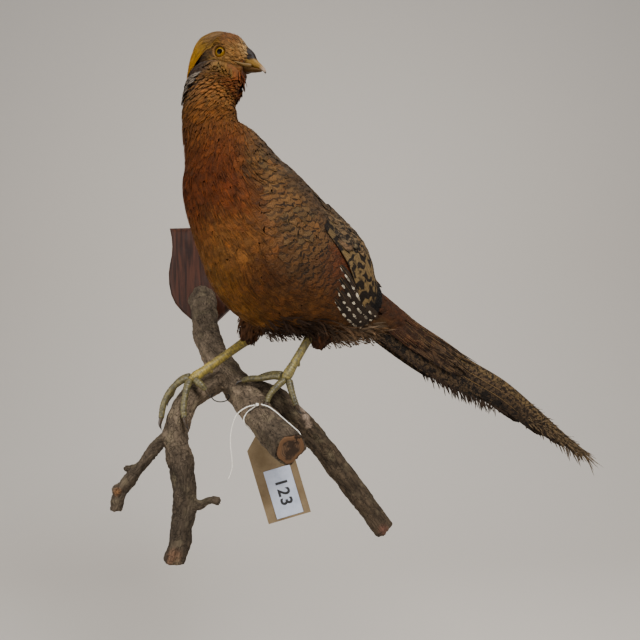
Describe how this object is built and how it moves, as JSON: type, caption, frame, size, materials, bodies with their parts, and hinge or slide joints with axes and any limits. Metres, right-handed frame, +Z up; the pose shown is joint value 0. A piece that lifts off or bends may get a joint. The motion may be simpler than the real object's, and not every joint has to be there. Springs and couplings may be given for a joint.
{
  "type": "taxidermy golden pheasant on a branch wall mount",
  "caption": "Stuffed immature male golden pheasant perched on a forked branch that grows from a small dark wooden wall shield, head turned back over its shoulder, with a buff tag on a string.",
  "frame": {"origin": "on the back face of the wooden shield, on its centre line, 74 mm above its lowest point", "axes": "+Z up, the wall is the plane Y = 0 and the bird is on its -Y side; +Y goes into the wall; +X is to the right for a person facing the wall"},
  "size_m": [0.5158, 0.2731, 0.4716],
  "materials": {
    "oak": "dark stained and waxed",
    "bark": "rough weathered bark",
    "plumage_russet": "soft russet and buff feathers",
    "plumage_mottled": "mottled brown, buff and black feathers",
    "plumage_barred": "barred and blotched wing feathers",
    "plumage_gold": "silky golden ochre feathers",
    "glass_eye": "polished glass with an amber iris",
    "bill_horn": "satin horn, slate at the base",
    "leg_skin": "dry scaly mustard and olive skin",
    "claw_horn": "dark satin horn",
    "tag_card": "uncoated buff card",
    "label_paper": "matt white paper",
    "cotton_string": "thin white cotton string"
  },
  "bodies": {
    "root": {"shield": "oak", "branch_main": "bark", "branch_left": "bark", "branch_right": "bark", "twig_left": "bark", "twig_small": "bark", "head": "plumage_mottled", "neck": "plumage_russet", "trunk": "plumage_russet", "eye_left": "glass_eye", "eye_right": "glass_eye", "bill_upper": "bill_horn", "bill_lower": "bill_horn", "thigh_right": "plumage_russet", "shank_right": "leg_skin", "toe_right_middle": "leg_skin", "claw_right_middle": "claw_horn", "toe_right_inner": "leg_skin", "claw_right_inner": "claw_horn", "toe_right_outer": "leg_skin", "claw_right_outer": "claw_horn", "toe_right_hind": "leg_skin", "claw_right_hind": "claw_horn", "thigh_left": "plumage_russet", "shank_left": "leg_skin", "toe_left_middle": "leg_skin", "claw_left_middle": "claw_horn", "toe_left_outer": "leg_skin", "claw_left_outer": "claw_horn", "toe_left_inner": "leg_skin", "claw_left_inner": "claw_horn", "toe_left_hind": "leg_skin", "claw_left_hind": "claw_horn", "wing_left": "plumage_barred", "quills_left": "plumage_barred", "wing_right": "plumage_barred", "quills_right": "plumage_barred", "crest": "plumage_gold", "tail_coverts_left": "plumage_mottled", "tail_middle_left": "plumage_mottled", "tail_side_left": "plumage_mottled", "tail_coverts_right": "plumage_mottled", "tail_middle_right": "plumage_mottled", "tail_side_right": "plumage_mottled", "tag_card": "tag_card", "tag_label": "label_paper", "string_knot": "cotton_string", "string_loop": "cotton_string", "string_end": "cotton_string"}
  },
  "joints": []
}
